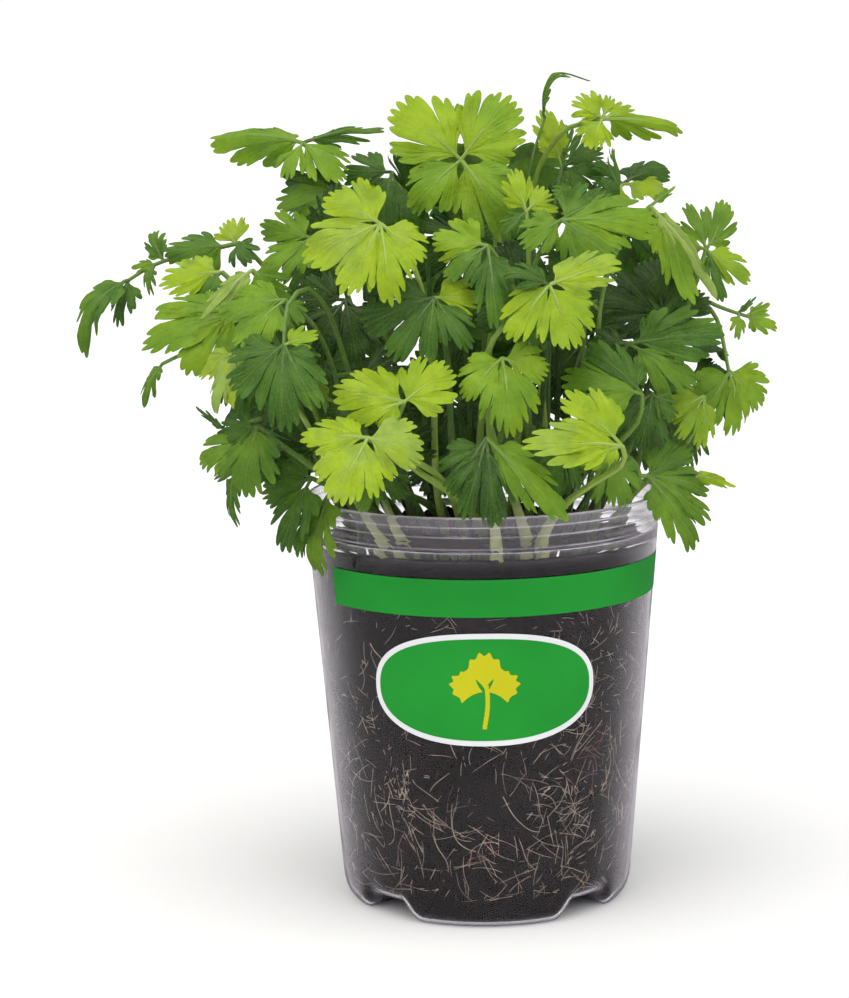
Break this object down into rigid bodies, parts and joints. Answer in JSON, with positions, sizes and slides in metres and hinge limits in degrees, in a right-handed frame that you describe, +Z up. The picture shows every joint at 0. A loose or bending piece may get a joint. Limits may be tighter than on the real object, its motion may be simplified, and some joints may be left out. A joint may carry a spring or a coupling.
{
  "type": "potted coriander",
  "caption": "Clump of fresh coriander with toothed, fan-shaped leaflets on thin stalks, growing in a clear tapered plastic cup of dark compost.",
  "frame": {"origin": "middle of the flat underside of the pot, on the pot's axis", "axes": "+Z up along the pot's axis, -Y towards the front of the pot, where its printed badge is, +X to the right seen from the front"},
  "size_m": [0.1803, 0.139, 0.2135],
  "materials": {
    "pot_plastic": "clear gloss thermoformed plastic",
    "compost": "damp matt peat with pale fine roots",
    "leaf_young": "satin, bright yellow green",
    "leaf_mid": "satin, mid green",
    "leaf_mature": "satin, dark green"
  },
  "bodies": {
    "root": {"pot": "pot_plastic", "soil": "compost", "leaf_top": "leaf_young", "leaf_upper_left_arch": "leaf_mid", "leaf_upper_left_back": "leaf_mature", "leaf_upper_left": "leaf_mid", "leaf_left_front_bright": "leaf_young", "leaf_left_mid": "leaf_mid", "leaf_far_left": "leaf_mid", "leaf_left_yellow": "leaf_young", "leaf_left_big": "leaf_mid", "leaf_left_pale": "leaf_young", "leaf_left_center": "leaf_mid", "leaf_left_hanging": "leaf_mature", "leaf_left_curled": "leaf_young", "leaf_lower_left": "leaf_mid", "leaf_rim_left": "leaf_mature", "leaf_over_rim_left": "leaf_mid", "leaf_front_bright_upper": "leaf_young", "leaf_front_bright_lower": "leaf_young", "leaf_front_low_dark": "leaf_mature", "leaf_center_left_dark": "leaf_mature", "leaf_center": "leaf_mid", "leaf_center_right": "leaf_young", "leaf_center_bright": "leaf_mid", "leaf_right_yellow": "leaf_young", "leaf_over_rim_right": "leaf_mid", "leaf_front_dark": "leaf_mature", "leaf_front_striped": "leaf_mid", "leaf_right_fan": "leaf_mid", "leaf_right_pale": "leaf_mid", "leaf_right_dark": "leaf_mature", "leaf_right_mid": "leaf_mid", "leaf_right_low_dark": "leaf_mature", "leaf_right_light": "leaf_mid", "leaf_far_right": "leaf_mid", "leaf_right_upper": "leaf_mid", "leaf_right_upper_pale": "leaf_young", "leaf_upper_right_round": "leaf_mature", "leaf_top_right": "leaf_young", "leaf_top_sprig": "leaf_mid", "leaf_upper_right_inner": "leaf_mature", "leaf_upper_center_yellow": "leaf_young", "leaf_right_inner_dark": "leaf_mature", "leaf_right_center_mid": "leaf_mid", "leaf_center_inner_dark": "leaf_mature", "leaf_left_inner_dark": "leaf_mature", "leaf_left_inner_low": "leaf_mature", "leaf_inner_center": "leaf_mature", "leaf_inner_upper": "leaf_mature", "leaf_inner_left": "leaf_mature", "leaf_inner_right": "leaf_mature", "leaf_back_left_low": "leaf_mid", "leaf_back_low": "leaf_mid", "leaf_back_right_low": "leaf_mid", "leaf_back_left_high": "leaf_mid", "leaf_back_high": "leaf_mid", "leaf_back_right_high": "leaf_mid", "leaf_back_mid": "leaf_mid", "leaf_back_left_mid": "leaf_mid"}
  },
  "joints": []
}
